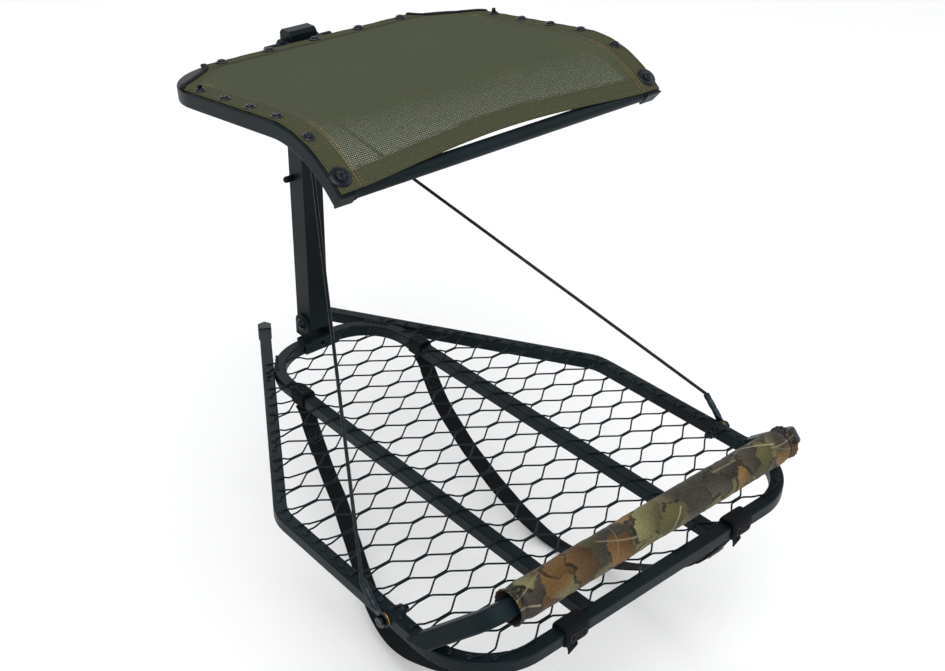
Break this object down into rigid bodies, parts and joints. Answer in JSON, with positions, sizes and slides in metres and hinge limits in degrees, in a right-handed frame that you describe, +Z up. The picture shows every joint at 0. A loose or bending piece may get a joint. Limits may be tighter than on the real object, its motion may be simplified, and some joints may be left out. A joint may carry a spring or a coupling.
{
  "type": "hang-on tree stand",
  "caption": "Folding hang-on tree stand with hex-mesh platform, square post, flip-up fabric sling seat, stay cables, padded footrest and shoulder straps.",
  "frame": {"origin": "centre of the post's rear face (the face that bears on the tree) at the height of the platform fold hinge", "axes": "+Z up along the post, -Y towards the front of the stand, +X to the viewer's right when the stand is seen from its front"},
  "size_m": [0.624, 0.8032, 0.7682],
  "materials": {
    "powder_coat": "fine-textured dark blue-black powder coat",
    "mesh_coat": "powder-coated wire",
    "zinc": "bright zinc",
    "black_fastener": "black oxide",
    "black_plastic": "moulded black",
    "cable_coat": "black vinyl over wire rope",
    "terminal": "blackened crimp",
    "webbing": "woven nylon webbing",
    "seat_mesh": "olive coated polyester mesh",
    "camo_cloth": "leaf and bark print over foam"
  },
  "bodies": {
    "post": {"post_tube": "powder_coat", "cable_bosses": "powder_coat", "strap_pin": "powder_coat", "seat_bracket": "powder_coat", "seat_stop": "powder_coat"},
    "platform": {"platform_frame": "powder_coat", "inner_hoop": "powder_coat", "mesh_floor": "mesh_coat", "tip_cap_left": "black_plastic", "tip_cap_right": "black_plastic", "hinge_bracket": "powder_coat", "hinge_bolt": "black_fastener", "hinge_nut": "black_fastener", "cable_bolts": "zinc", "cable_bolt_nuts": "zinc", "cable_bolt_washers": "zinc", "footrest_bar": "powder_coat", "footrest_sleeve": "camo_cloth", "strap_left": "webbing", "strap_right": "webbing", "rear_wraps": "webbing", "front_wraps": "webbing", "strap_keepers": "webbing"},
    "seat": {"seat_frame": "powder_coat", "seat_end_plates": "powder_coat", "seat_crossbar": "powder_coat", "seat_pivot_tube": "powder_coat", "seat_hinge_arms": "powder_coat", "seat_pivot_plugs": "black_plastic", "seat_fabric": "seat_mesh", "corner_bindings": "webbing", "seat_screws": "black_fastener", "seat_washers": "zinc", "rear_post_screws": "black_fastener", "lip_washers": "black_fastener", "lip_screws": "black_fastener"},
    "cable_lower_l": {"cable_lower_left": "cable_coat", "terminal_lower_left": "terminal"},
    "cable_upper_l": {"cable_upper_left": "cable_coat", "terminal_upper_left": "terminal", "top_bolt_left": "black_fastener"},
    "cable_lower_r": {"cable_lower_right": "cable_coat", "terminal_lower_right": "terminal"},
    "cable_upper_r": {"cable_upper_right": "cable_coat", "terminal_upper_right": "terminal", "top_bolt_right": "black_fastener"}
  },
  "joints": [
    {"name": "platform_fold", "type": "hinge", "parent": "post", "child": "platform", "pos_m": [0, -0.0175, 0], "axis": [-1, 0, 0], "range_deg": [0, 80]},
    {"name": "seat_flip", "type": "hinge", "parent": "post", "child": "seat", "pos_m": [0, -0.0175, 0.446], "axis": [-1, 0, 0], "range_deg": [0, 84.3]},
    {"name": "cable_lower_l", "type": "hinge", "parent": "platform", "child": "cable_lower_l", "pos_m": [-0.3065, -0.585, -0.033], "axis": [-1, 0, 0], "range_deg": [0, 30.27]},
    {"name": "cable_elbow_l", "type": "hinge", "parent": "cable_lower_l", "child": "cable_upper_l", "pos_m": [-0.135, -0.22436, 0.22806], "axis": [1, 0, 0], "range_deg": [0, 164.84]},
    {"name": "cable_lower_r", "type": "hinge", "parent": "platform", "child": "cable_lower_r", "pos_m": [0.3065, -0.585, -0.033], "axis": [-1, 0, 0], "range_deg": [0, 30.27]},
    {"name": "cable_elbow_r", "type": "hinge", "parent": "cable_lower_r", "child": "cable_upper_r", "pos_m": [0.135, -0.22436, 0.22806], "axis": [1, 0, 0], "range_deg": [0, 164.84]}
  ],
  "couplings": [
    {"joint": "seat_flip", "follows": "platform_fold", "ratio": 1.0537},
    {"joint": "cable_lower_l", "follows": "platform_fold", "ratio": 0.37833},
    {"joint": "cable_elbow_l", "follows": "platform_fold", "ratio": 2.0605},
    {"joint": "cable_lower_r", "follows": "platform_fold", "ratio": 0.37833},
    {"joint": "cable_elbow_r", "follows": "platform_fold", "ratio": 2.0605}
  ]
}
